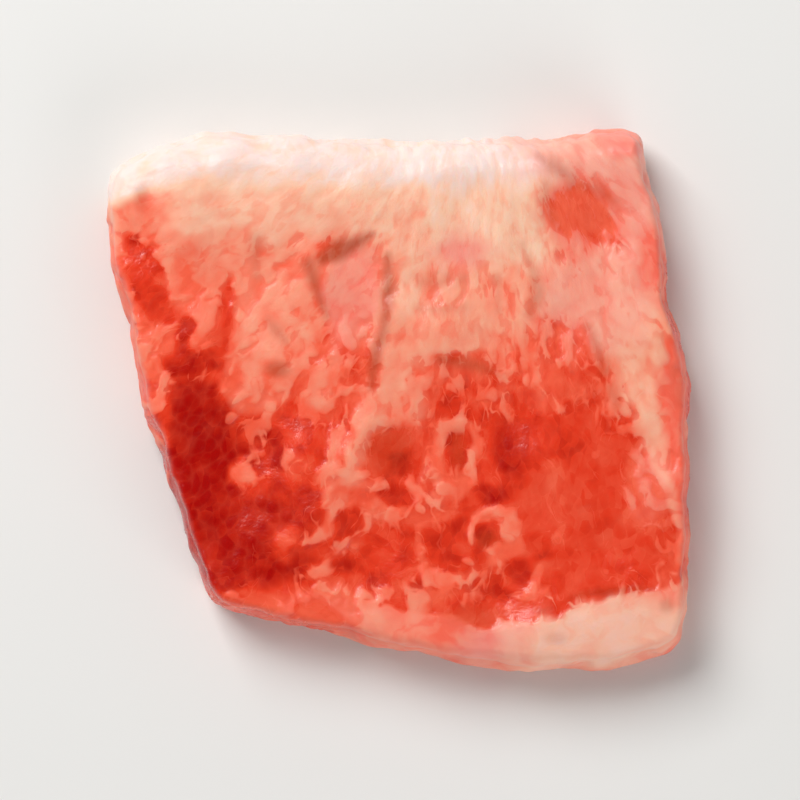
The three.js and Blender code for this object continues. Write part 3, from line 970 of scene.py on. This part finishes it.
@dataclass(frozen=True)
class CutRelief:
    """The fine relief of a knife-cut meat face, made by a Geometry Nodes tree.

    Attributes:
        fat_proud: fat stands above lean.
        fibre_swell: each bundle of fibres bulges in its middle.
        lobule_swell: so does each lobule of fat.
        fat_folds, fold_pattern: the soft folds of the outer fat.
        lumps, lump_pattern: the unevenness everywhere.
        outer_fat: where fat is solid enough to fold, as its share rises.
        sideways: how much of its folds a face keeps as it turns upwards.
        above: how much relief a face keeps as it turns up from the underside.
        marbling: where the fat is.
    """

    fat_proud: Layer = Layer("Fat proud", 0.10, Rise(0, 1))
    fibre_swell: Layer = Layer("Fibre swell", 0.07, Rise(0, 0.8, 0.4, -0.6))
    lobule_swell: Layer = Layer("Lobule swell", 0.09, Rise(0, 0.8, 0.4, -0.6))
    fat_folds: Layer = Layer("Fat folds", 0.9, Rise(-0.5, 0.5, -0.5, 0.5))
    fold_pattern: Pattern = Pattern((3.6, 3.6, 3.6), 1.0)
    lumps: Layer = Layer("Lumps", 0.14, Rise(-0.5, 0.5, -0.5, 0.5))
    lump_pattern: Pattern = Pattern((1.5, 1.5, 1.5), 3.0)
    outer_fat: Rise = Rise(0.88, 0.97)
    sideways: Rise = Rise(0.2, 0.95, 1.0, 0.25)
    above: Rise = Rise(-0.7, -0.2)
    marbling: Marbling = Marbling()

    def height(self, tree: bpy.types.NodeTree, given: bpy.types.Node, upward: Source, share: Source,
               grain: Source, fields: dict[Field, bpy.types.Node]) -> bpy.types.Node:
        """Adds up the layers.

        Args:
            tree: the shape's tree.
            given: the tree's inputs, where each layer's height is.
            upward: what gives how far a face turns upwards, from -1 to 1.
            share: what gives the share of fat at each place.
            grain: what gives the place across, along and below the fibres, in millimetres.
            fields: the node that gives each field.

        Returns:
            The node that gives the height, in millimetres.
        """
        veins = self.marbling.grow(tree, fields)
        lean = add_node(tree, "ShaderNodeMath", {"operation": "SUBTRACT"}, {0: 1.0, 1: veins.fat})
        outer = add_node(tree, "ShaderNodeMapRange", SMOOTH, self.outer_fat.of(share))
        sideways = add_node(tree, "ShaderNodeMapRange", None, self.sideways.of(upward))
        outer = add_node(tree, "ShaderNodeMath", {"operation": "MULTIPLY"}, {0: outer, 1: sideways})
        height = None
        for layer, made_by, where in (
                (self.fat_proud, veins.fat, veins.fat),
                (self.fibre_swell, veins.bundles, lean),
                (self.lobule_swell, fields[Field.LOBULE], veins.fat),
                (self.fat_folds, self.fold_pattern.clouds(tree, grain), outer),
                (self.lumps, self.lump_pattern.clouds(tree, grain), None)):
            part = add_node(tree, "ShaderNodeMapRange", None, layer.follows.of(made_by))
            part = add_node(tree, "ShaderNodeMath", {"operation": "MULTIPLY"}, {
                0: part, 1: given.outputs[layer.name]})
            if where is not None:
                part = add_node(tree, "ShaderNodeMath", {"operation": "MULTIPLY"}, {0: part, 1: where})
            if height is not None:
                part = add_node(tree, "ShaderNodeMath", {"operation": "ADD"}, {0: height, 1: part})
            height = part
        return height

    def tree(self, material: bpy.types.Material) -> tuple[bpy.types.NodeTree, dict[str, float]]:
        """Builds the tree.

        Args:
            material: the material that its faces get.

        Returns:
            The tree, and the value of each of its inputs by the input's identifier.
        """
        tree = bpy.data.node_groups.new("Cut meat relief", "GeometryNodeTree")
        tree.interface.new_socket("Geometry", in_out="INPUT", socket_type="NodeSocketGeometry")
        values = {}
        for layer in (self.fat_proud, self.fibre_swell, self.lobule_swell, self.fat_folds, self.lumps):
            item = tree.interface.new_socket(layer.name, in_out="INPUT", socket_type="NodeSocketFloat")
            values[item.identifier] = layer.height
        tree.interface.new_socket("Geometry", in_out="OUTPUT", socket_type="NodeSocketGeometry")
        given = add_node(tree, "NodeGroupInput")
        share = add_node(tree, "GeometryNodeInputNamedAttribute", {"data_type": "FLOAT"}, {
            "Name": Field.FAT_SHARE.value}).outputs[0]
        grain = add_node(tree, "GeometryNodeInputNamedAttribute", {"data_type": "FLOAT_VECTOR"}, {
            "Name": Field.GRAIN.value}).outputs[0]
        normal = add_node(tree, "GeometryNodeInputNormal")
        upward = add_node(tree, "ShaderNodeSeparateXYZ", None, {"Vector": normal}).outputs["Z"]

        fields = self.marbling.spread(tree, share, grain)
        height = self.height(tree, given, upward, share, grain, fields)
        height = add_node(tree, "ShaderNodeMath", {"operation": "MULTIPLY"}, {0: height, 1: MM})
        kept = add_node(tree, "ShaderNodeMapRange", None, self.above.of(upward))
        height = add_node(tree, "ShaderNodeMath", {"operation": "MULTIPLY"}, {0: height, 1: kept})
        offset = add_node(tree, "ShaderNodeVectorMath", {"operation": "SCALE"}, {0: normal, "Scale": height})
        shape = add_node(tree, "GeometryNodeSetPosition", None, {
            "Geometry": given.outputs["Geometry"], "Offset": offset})
        for field, node in fields.items():
            kept_as = {"data_type": "FLOAT_VECTOR" if field is Field.GRAIN else "FLOAT", "domain": "POINT"}
            shape = add_node(tree, "GeometryNodeStoreNamedAttribute", kept_as, {
                "Geometry": shape, "Name": field.value, "Value": node})
        shape = add_node(tree, "GeometryNodeRealizeInstances", None, {"Geometry": shape})
        shape = add_node(tree, "GeometryNodeSetMaterial", None, {"Geometry": shape, "Material": material})
        add_node(tree, "NodeGroupOutput", None, {"Geometry": shape})
        return tree, values


@dataclass(frozen=True)
class RawBeef:
    """Raw marbled beef, knife cut: wet lean with a soft shine, and waxy fat that light sinks into.

    Attributes:
        coral, red, dark: the lean, from pale to deep; dark also paints the shade inside the slice's left
            edge.
        salmon, peach, cream, white: the fat, from flecks in lean to the cap.
        peach_at, cream_at: how white the fat is where it has these colours.
        blush: fat that blood has tinted.
        membrane, membrane_strength: thin sheets of tissue seen edge-on, and how strongly they show.
        bundle_tones: how far apart the tones of the fibre bundles lie.
        lean_clouds, fatty_clouds: how strongly clouds show in clean lean, and how much more where fat is.
        sinew: how much sinew shows, as the distance from a bundle's middle rises.
        fat_clouds: how strongly clouds show in fat.
        stripes: how strongly stripes show in fat, as it gets whiter.
        core: how much whiter fat is, as its depth rises.
        lobule_edge: how much whiter fat is, as the distance from a lobule's middle rises.
        veil: how far fat under the surface covers lean, as its share rises.
        opaque: how dense its veins are, as its share rises.
        roughness: of lean at its low end, and of fat at its high end.
        pore: the finest unevenness, drawn as coarse as it needs to show.
        pore_strength, pore_height: how strongly it shades the surface, and its height in millimetres.
        ior: of wet meat, a little above water's 1.33.
        sunken_light, sunken_reach, sunken_depth: the share of light that sinks in, how far red, green and
            blue go on the scale of the depth, and that depth in millimetres.
        juice, juice_roughness, juice_ior: the thin film of meat juice.
        marbling: where the fat is.
    """

    coral: str = "#F6684A"
    red: str = "#E63B1E"
    dark: str = "#AE0500"
    salmon: str = "#FA6446"
    peach: str = "#F89E80"
    cream: str = "#F8C4A6"
    white: str = "#F1D8D0"
    peach_at: float = 0.33
    cream_at: float = 0.63
    blush: str = "#F4928C"
    membrane: str = "#A8401E"
    membrane_strength: float = 0.72
    bundle_tones: float = 0.18
    lean_clouds: float = 0.5
    fatty_clouds: float = 2.1
    sinew: Rise = Rise(0.4, 0.9, 0.0, 0.12)
    fat_clouds: float = 0.36
    stripes: Rise = Rise(0.4, 0.9, 0.22, 0.0)
    core: Rise = Rise(0.0, 0.08, -0.04, 0.06)
    lobule_edge: Rise = Rise(0.35, 0.95, 0.03, -0.1)
    veil: Rise = Rise(0.35, 0.95, 0.0, 0.82)
    opaque: Rise = Rise(0.1, 0.8, 0.6, 1.0)
    roughness: Rise = Rise(0.0, 1.0, 0.27, 0.42)
    pore: Pattern = Pattern((0.28, 0.34, 0.4), 1.0)
    pore_strength: float = 0.3
    pore_height: float = 0.1
    ior: float = 1.35
    sunken_light: float = 0.3
    sunken_reach: tuple[float, float, float] = (1.0, 0.35, 0.2)
    sunken_depth: float = 1.0
    juice: float = 0.14
    juice_roughness: float = 0.06
    juice_ior: float = 1.38
    marbling: Marbling = Marbling()

    def lean(self, tree: bpy.types.NodeTree, read: dict[Field, Source], veins: Veins) -> bpy.types.Node:
        """Colours the lean: each fibre bundle has its own tone, with pale sinew between them.

        Args:
            tree: the material's tree.
            read: what gives each field.
            veins: the marbling's nodes.

        Returns:
            The node that gives the colour.
        """
        own = add_node(tree, "ShaderNodeSeparateColor", None, {"Color": veins.bundles.outputs["Color"]})
        tone = add_node(tree, "ShaderNodeMath", {"operation": "MULTIPLY_ADD"}, {
            0: own.outputs["Red"], 1: self.bundle_tones, 2: read[Field.LEAN_TONE]})
        uneven = add_node(tree, "ShaderNodeMath", {"operation": "MULTIPLY_ADD"}, {
            0: read[Field.FAT_SHARE], 1: self.fatty_clouds, 2: self.lean_clouds})
        tone = add_node(tree, "ShaderNodeMath", {"operation": "MULTIPLY_ADD"}, {
            0: read[Field.MOTTLE], 1: uneven, 2: tone})
        tone = add_node(tree, "ShaderNodeMath", {"operation": "SUBTRACT"}, {
            0: tone, 1: self.bundle_tones / 2})
        lean = add_node(tree, "ShaderNodeValToRGB", None, {"Fac": tone}, (
            (0.0, self.coral), (0.5, self.red), (1.0, self.dark)))
        sinew = add_node(tree, "ShaderNodeMapRange", SMOOTH, self.sinew.of(veins.bundles.outputs["Distance"]))
        return add_node(tree, "ShaderNodeMix", {"data_type": "RGBA"}, {
            "Factor": sinew, "A": lean, "B": linear(self.salmon)})

    def fat(self, tree: bpy.types.NodeTree, read: dict[Field, Source], veins: Veins) -> bpy.types.Node:
        """Colours the fat: paler in the middle of a vein, pinker between its lobules.

        Args:
            tree: the material's tree.
            read: what gives each field.
            veins: the marbling's nodes.

        Returns:
            The node that gives the colour.
        """
        white = read[Field.FAT_WHITENESS]
        pale = add_node(tree, "ShaderNodeMath", {"operation": "MULTIPLY_ADD"}, {
            0: read[Field.MOTTLE], 1: self.fat_clouds, 2: white})
        stripes = add_node(tree, "ShaderNodeMapRange", None, self.stripes.of(white))
        pale = add_node(tree, "ShaderNodeMath", {"operation": "MULTIPLY_ADD"}, {
            0: read[Field.STREAK], 1: stripes, 2: pale})
        core = add_node(tree, "ShaderNodeMapRange", None, self.core.of(veins.inside))
        pale = add_node(tree, "ShaderNodeMath", {"operation": "ADD"}, {0: pale, 1: core})
        lobule_edge = add_node(tree, "ShaderNodeMapRange", SMOOTH, self.lobule_edge.of(read[Field.LOBULE]))
        pale = add_node(tree, "ShaderNodeMath", {"operation": "ADD"}, {0: pale, 1: lobule_edge})
        fat = add_node(tree, "ShaderNodeValToRGB", None, {"Fac": pale}, (
            (0.0, self.salmon), (self.peach_at, self.peach), (self.cream_at, self.cream), (1.0, self.white)))
        return add_node(tree, "ShaderNodeMix", {"data_type": "RGBA"}, {
            "Factor": read[Field.BLUSH], "A": fat, "B": linear(self.blush)})

    def material(self) -> bpy.types.Material:
        """Builds the material.

        Returns:
            The material, which reads the mesh's own attributes.
        """
        # Beef cut with a knife: the blade leaves the lean smooth and wet, so it shines in small broken
        # highlights, and the fat waxy and duller, with soft edges where light sinks in.
        material = bpy.data.materials.new("Raw beef, knife cut")
        material.use_nodes = True
        tree = material.node_tree
        tree.nodes.clear()
        read = {}
        for field in Field:
            attribute = add_node(tree, "ShaderNodeAttribute", {"attribute_name": field.value})
            read[field] = attribute.outputs["Vector" if field is Field.GRAIN else "Fac"]
        veins = self.marbling.grow(tree, read)

        # fat over lean, and membrane over both
        veil = add_node(tree, "ShaderNodeMapRange", SMOOTH, self.veil.of(read[Field.FAT_SHARE]))
        opaque = add_node(tree, "ShaderNodeMapRange", None, self.opaque.of(read[Field.FAT_SHARE]))
        covered = add_node(tree, "ShaderNodeMath", {"operation": "MULTIPLY"}, {0: veins.fat, 1: opaque})
        covered = add_node(tree, "ShaderNodeMath", {"operation": "MAXIMUM"}, {0: covered, 1: veil})
        flesh = add_node(tree, "ShaderNodeMix", {"data_type": "RGBA"}, {
            "Factor": covered, "A": self.lean(tree, read, veins), "B": self.fat(tree, read, veins)})
        membrane = add_node(tree, "ShaderNodeMath", {"operation": "MULTIPLY"}, {
            0: read[Field.MEMBRANE], 1: self.membrane_strength})
        flesh = add_node(tree, "ShaderNodeMix", {"data_type": "RGBA"}, {
            "Factor": membrane, "A": flesh, "B": linear(self.membrane)})

        # fat shines more softly than lean, and a thin film of juice lies over both
        roughness = add_node(tree, "ShaderNodeMapRange", None, self.roughness.of(covered))
        bump = add_node(tree, "ShaderNodeBump", None, {
            "Height": self.pore.clouds(tree, read[Field.GRAIN]), "Strength": self.pore_strength,
            "Distance": self.pore_height * MM})
        shader = add_node(tree, "ShaderNodeBsdfPrincipled", {"subsurface_method": "RANDOM_WALK"}, {
            "Base Color": flesh, "Roughness": roughness, "IOR": self.ior, "Normal": bump,
            "Subsurface Weight": self.sunken_light, "Subsurface Radius": self.sunken_reach,
            "Subsurface Scale": self.sunken_depth * MM, "Coat Weight": self.juice,
            "Coat Roughness": self.juice_roughness, "Coat IOR": self.juice_ior})
        add_node(tree, "ShaderNodeOutputMaterial", None, {"Surface": shader})
        return material


@dataclass(frozen=True)
class ShortRibSlice:
    """The slice itself: a fine closed mesh on the form, with its fields, relief and material.

    Attributes:
        form: its outer form.
        muscle: which tissue lies where.
        relief: its fine relief.
        finish: its material.
        columns, rows: how finely the top face is divided. Both are even, as the underside has half as many.
        side_rows: how finely the sides are divided.
        rounded_columns: how many columns lie in the rounded left and right edge.
        rounded_rows: how many rows lie in the rounded near and far edge.
    """

    form: SliceForm = SliceForm()
    muscle: MuscleMap = MuscleMap()
    relief: CutRelief = CutRelief()
    finish: RawBeef = RawBeef()
    columns: int = 228
    rows: int = 220
    side_rows: int = 16
    rounded_columns: tuple[int, int] = (10, 10)
    rounded_rows: tuple[int, int] = (14, 32)

    def steps(self, count: int, rounded: tuple[int, int], low: Side, high: Side) -> np.ndarray:
        """Divides the way from one side to the other, evenly along the surface of the rounded edges.

        Args:
            count: the number of steps.
            rounded: how many of them lie in the lower and the higher rounded edge.
            low: the side where the steps start.
            high: the side where they end.

        Returns:
            Places from -1 to 1.
        """
        from_low, from_high = (
            side.width / self.form.half_span * (1 - np.cos(np.linspace(0, math.pi / 2, number + 1)))
            for side, number in zip((low, high), rounded))
        between = np.linspace(from_low[-1] - 1, 1 - from_high[-1], count - sum(rounded) + 1)
        return np.concatenate([from_low[:-1] - 1, between, 1 - from_high[-2::-1]])

    def ring(self) -> list[tuple[int, int]]:
        """Lists the top face's edge vertices.

        Returns:
            The column and row of each, anticlockwise from the near left corner.
        """
        c, r = self.columns, self.rows
        return ([(i, 0) for i in range(c)] + [(c, j) for j in range(r)]
                + [(i, r) for i in range(c, 0, -1)] + [(0, j) for j in range(r, 0, -1)])

    def vertices(self) -> np.ndarray:
        """Lays out the divided box: top face, rings down the sides, then the coarser underside.

        Returns:
            Across, along and level of each vertex, from -1 to 1, one vertex a row.
        """
        form = self.form
        across = self.steps(self.columns, self.rounded_columns, form.left_side, form.right_side)
        along = self.steps(self.rows, self.rounded_rows, form.near_side, form.far_side)
        top = np.stack(np.meshgrid(across, along), axis=-1).reshape(-1, 2)
        ring = np.array([(across[i], along[j]) for i, j in self.ring()])
        under = np.stack(np.meshgrid(across[2:-2:2], along[2:-2:2]), axis=-1).reshape(-1, 2)
        parts = [np.column_stack([top, np.ones(len(top))])]
        for k in range(1, self.side_rows + 1):
            parts.append(np.column_stack([ring, np.full(len(ring), 1 - 2 * k / self.side_rows)]))
        parts.append(np.column_stack([under, np.full(len(under), -1.0)]))
        return np.concatenate(parts)

    def faces(self) -> list[tuple[int, ...]]:
        """Joins the vertices into one closed skin.

        Returns:
            The vertex numbers of each face, anticlockwise seen from outside.
        """
        c, r = self.columns, self.rows
        ring = self.ring()
        count = len(ring)
        first_wall = (c + 1) * (r + 1)
        first_under = first_wall + self.side_rows * count
        made = [(j * (c + 1) + i, j * (c + 1) + i + 1, (j + 1) * (c + 1) + i + 1, (j + 1) * (c + 1) + i)
                for j in range(r) for i in range(c)]
        above = [j * (c + 1) + i for i, j in ring]
        for k in range(self.side_rows):
            below = [first_wall + k * count + n for n in range(count)]
            made += [(below[n], below[(n + 1) % count], above[(n + 1) % count], above[n])
                     for n in range(count)]
            above = below

        # each face of the underside is two columns wide and two rows deep, and meets the ring's every vertex
        foot = {place: above[n] for n, place in enumerate(ring)}
        inner = c // 2 - 1
        for j in range(0, r, 2):
            for i in range(0, c, 2):
                around = [(i, j), (i, j + 1), (i, j + 2), (i + 1, j + 2), (i + 2, j + 2),
                          (i + 2, j + 1), (i + 2, j), (i + 1, j)]
                face = []
                for place in around:
                    if place in foot:
                        face.append(foot[place])
                    elif place[0] % 2 == 0 and place[1] % 2 == 0:
                        face.append(first_under + (place[1] // 2 - 1) * inner + place[0] // 2 - 1)
                made.append(tuple(face))
        return made

    def rough_slice(self) -> bpy.types.Object:
        """Makes the slice without its fine relief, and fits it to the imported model's box.

        Returns:
            The object, whose mesh carries the muscle map's fields.
        """
        across, along, level = self.vertices().T
        places = self.form.place(across, along, level)
        inset_far = (1 - along) * self.form.half_span
        depth = np.maximum(self.form.thickness(along) - places[:, 2], 0)
        fields = self.muscle.fields(places, inset_far, depth)
        low, high = (np.array(corner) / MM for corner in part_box(NODE))
        middle = (low + high) / 2 - (places.min(axis=0) + places.max(axis=0)) / 2
        places = places + np.array([middle[0], middle[1], low[2] - places[:, 2].min()])

        mesh = bpy.data.meshes.new("short_rib")
        mesh.from_pydata((places * MM).tolist(), [], self.faces())
        mesh.polygons.foreach_set("use_smooth", np.ones(len(mesh.polygons), bool))
        for field, values in fields.items():
            kind, content = ("FLOAT_VECTOR", "vector") if values.ndim == 2 else ("FLOAT", "value")
            attribute = mesh.attributes.new(field.value, kind, "POINT")
            attribute.data.foreach_set(content, values.astype(np.float32).ravel())
        mesh.update()
        rough = bpy.data.objects.new("short_rib_rough", mesh)
        bpy.context.scene.collection.objects.link(rough)
        return rough

    def make(self) -> bpy.types.Object:
        """Makes the slice with its relief, and turns the result into a plain mesh.

        Returns:
            The finished object.
        """
        rough = self.rough_slice()
        tree, values = self.relief.tree(self.finish.material())
        modifier = rough.modifiers.new("Relief", "NODES")
        modifier.node_group = tree
        for identifier, value in values.items():
            modifier[identifier] = value
        graph = bpy.context.evaluated_depsgraph_get()
        finished = bpy.data.meshes.new_from_object(
            rough.evaluated_get(graph), preserve_all_data_layers=True, depsgraph=graph)
        bpy.data.objects.remove(rough)  # and its modifier with it
        piece = bpy.data.objects.new("raw_short_rib", finished)
        bpy.context.scene.collection.objects.link(piece)
        return piece


@dataclass(frozen=True)
class PaintedBoard:
    """Matt painted board."""

    colour: str = "#E9E8E5"
    roughness: float = 0.9

    def material(self) -> bpy.types.Material:
        """Builds the material.

        Returns:
            The material.
        """
        # Board with matt paint, rolled on: an even pale ground that takes soft shadows and has no highlight.
        material = bpy.data.materials.new("Matt white board")
        material.use_nodes = True
        shader = material.node_tree.nodes["Principled BSDF"]
        shader.inputs["Base Color"].default_value = linear(self.colour)
        shader.inputs["Roughness"].default_value = self.roughness
        return material


@dataclass(frozen=True)
class Lamp:
    """A soft square lamp that faces the slice: its place and side in metres, and its power in watts."""

    name: str
    place: tuple[float, float, float]
    side: float
    power: float

    def hang(self) -> None:
        """Adds the lamp to the scene."""
        light = bpy.data.lights.new(self.name, "AREA")
        light.size = self.side
        light.energy = self.power
        lamp = bpy.data.objects.new(self.name, light)
        lamp.location = self.place
        lamp.rotation_euler = lamp.location.to_track_quat("Z", "Y").to_euler()
        lamp.visible_camera = False
        bpy.context.scene.collection.objects.link(lamp)


@dataclass(frozen=True)
class Studio:
    """A pale floor, soft light from the far left, and a camera that looks straight down.

    Attributes:
        board: what the floor is made of.
        floor_side: the floor's side, in metres.
        lens, sensor: the camera's, in millimetres.
        frame_span: how much of the floor the picture is across, in metres.
        glow: how strongly the room shines from each height, from its walls up to its ceiling.
        lamps: a main light from the far left, and a weaker, lower one from the near right.
    """

    board: PaintedBoard = PaintedBoard()
    floor_side: float = 3.0
    lens: float = 180.0
    sensor: float = 36.0
    frame_span: float = 0.074
    glow: Rise = Rise(0.2, 0.9, 0.54, 0.08)
    lamps: tuple[Lamp, ...] = (
        Lamp("key", (-0.24, 0.34, 0.42), 0.32, 3.4),
        Lamp("fill", (0.3, -0.44, 0.22), 0.4, 1.35))

    def room(self) -> None:
        """Lights the room from all around."""
        bpy.context.scene.view_settings.view_transform = "Standard"
        world = bpy.data.worlds.new("Soft white room")
        world.use_nodes = True
        tree = world.node_tree
        background = tree.nodes["Background"]
        background.inputs["Color"].default_value = (1, 1, 1, 1)
        way = add_node(tree, "ShaderNodeTexCoord").outputs["Generated"]
        height = add_node(tree, "ShaderNodeSeparateXYZ", None, {"Vector": way}).outputs["Z"]
        glow = add_node(tree, "ShaderNodeMapRange", None, self.glow.of(height))
        tree.links.new(glow.outputs["Result"], background.inputs["Strength"])
        bpy.context.scene.world = world

    def camera(self) -> None:
        """Hangs the camera straight above the origin."""
        data = bpy.data.cameras.new("camera")
        data.lens = self.lens
        data.sensor_width = self.sensor
        camera = bpy.data.objects.new("camera", data)
        camera.location = (0, 0, self.frame_span * self.lens / self.sensor)
        bpy.context.scene.collection.objects.link(camera)
        bpy.context.scene.camera = camera

    def floor(self) -> bpy.types.Object:
        """Makes the floor.

        Returns:
            The floor, with its top at height 0.
        """
        mesh = bpy.data.meshes.new("floor")
        half = self.floor_side / 2
        corners = [(-half, -half, 0), (half, -half, 0), (half, half, 0), (-half, half, 0)]
        mesh.from_pydata(corners, [], [(0, 1, 2, 3)])
        mesh.materials.append(self.board.material())
        floor = bpy.data.objects.new("floor", mesh)
        bpy.context.scene.collection.objects.link(floor)
        return floor

    def build(self) -> bpy.types.Object:
        """Sets up the room, its lamps and its camera.

        Returns:
            The floor.
        """
        self.room()
        for lamp in self.lamps:
            lamp.hang()
        self.camera()
        return self.floor()


def main() -> None:
    """Builds the slice and the room."""
    logging.basicConfig(level=logging.INFO, format="%(name)s: %(message)s")
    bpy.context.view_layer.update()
    floor = Studio().build()
    piece = ShortRibSlice().make()
    triangles = sum(len(face.vertices) - 2 for face in piece.data.polygons)
    log.info("%s has %d triangles", piece.name, triangles)
    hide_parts(NODE)
    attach(piece, "root")


if __name__ == "__main__":
    main()
